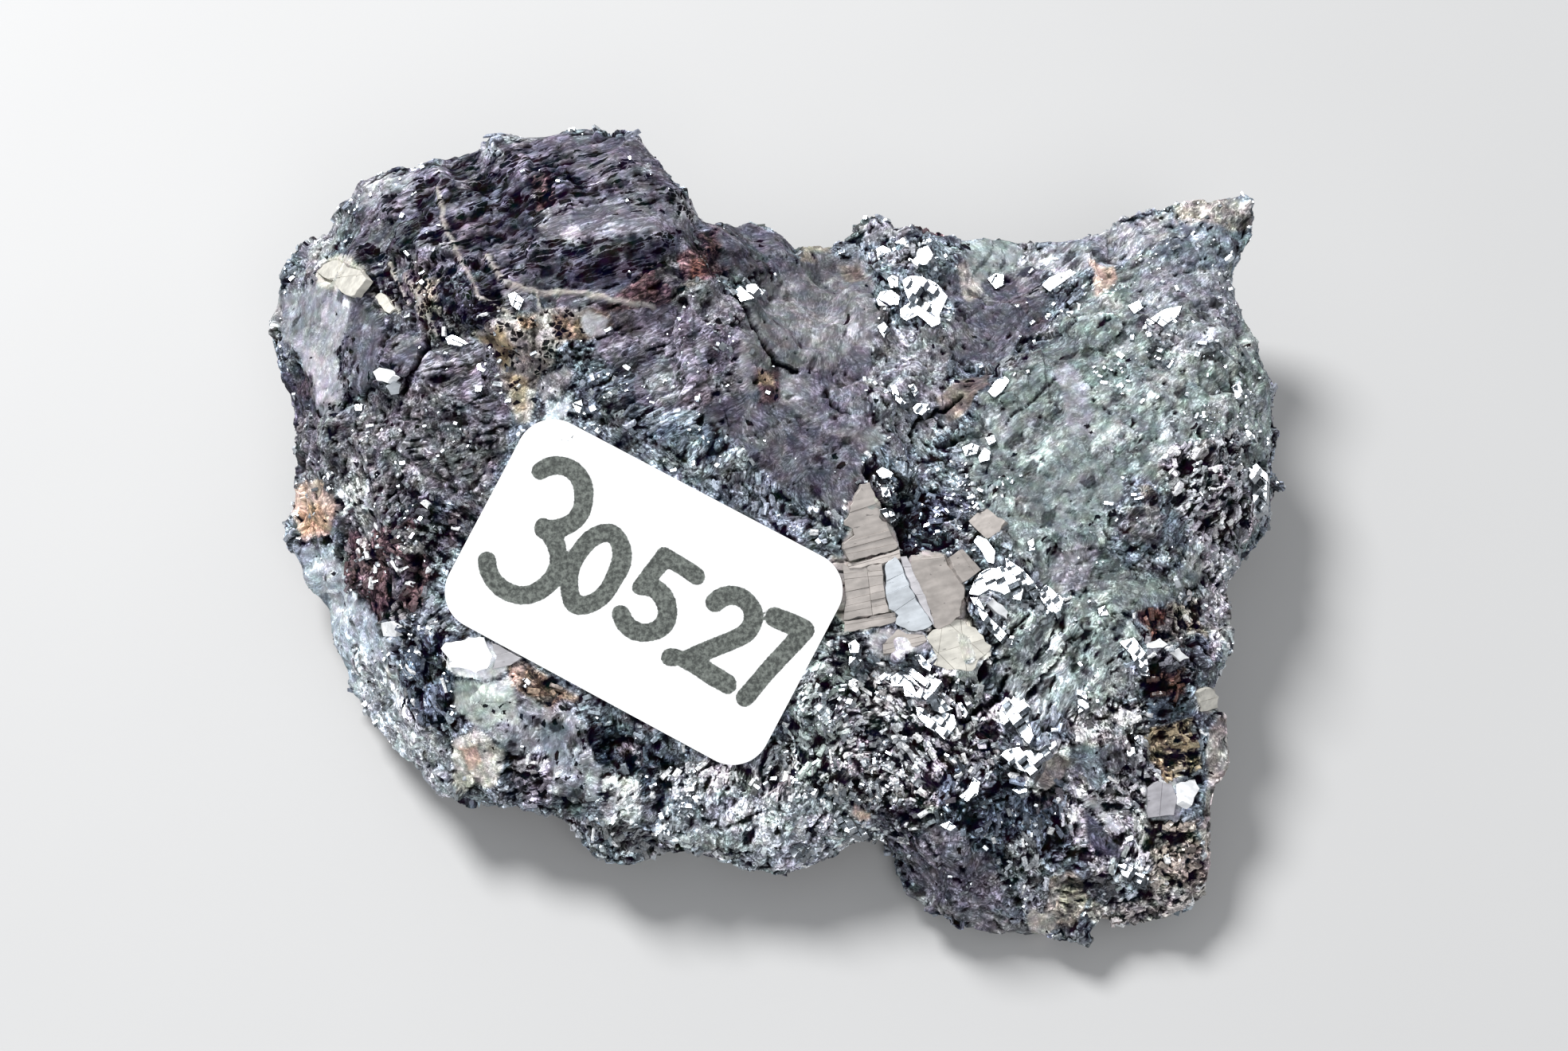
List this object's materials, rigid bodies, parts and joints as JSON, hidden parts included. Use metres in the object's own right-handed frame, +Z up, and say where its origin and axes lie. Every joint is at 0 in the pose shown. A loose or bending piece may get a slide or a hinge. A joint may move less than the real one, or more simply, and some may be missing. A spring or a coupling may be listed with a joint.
{
  "type": "galena specimen",
  "caption": "Broken lump of galena ore with cleavage blocks, striated dark mineral and grey-green matrix, and a small paper label stuck to its upper face.",
  "frame": {"origin": "middle of the specimen's footprint, at the level of the surface it rests on", "axes": "+X along its length, towards the pointed right end of the view with the label; -Y towards the low front edge that the label leans to; +Z up"},
  "size_m": [0.0584, 0.0424, 0.0197],
  "materials": {
    "ore": "broken, metallic glints",
    "label_paper": "matte"
  },
  "bodies": {
    "root": {"galena_ore": "ore", "paper_label": "label_paper"}
  },
  "joints": []
}
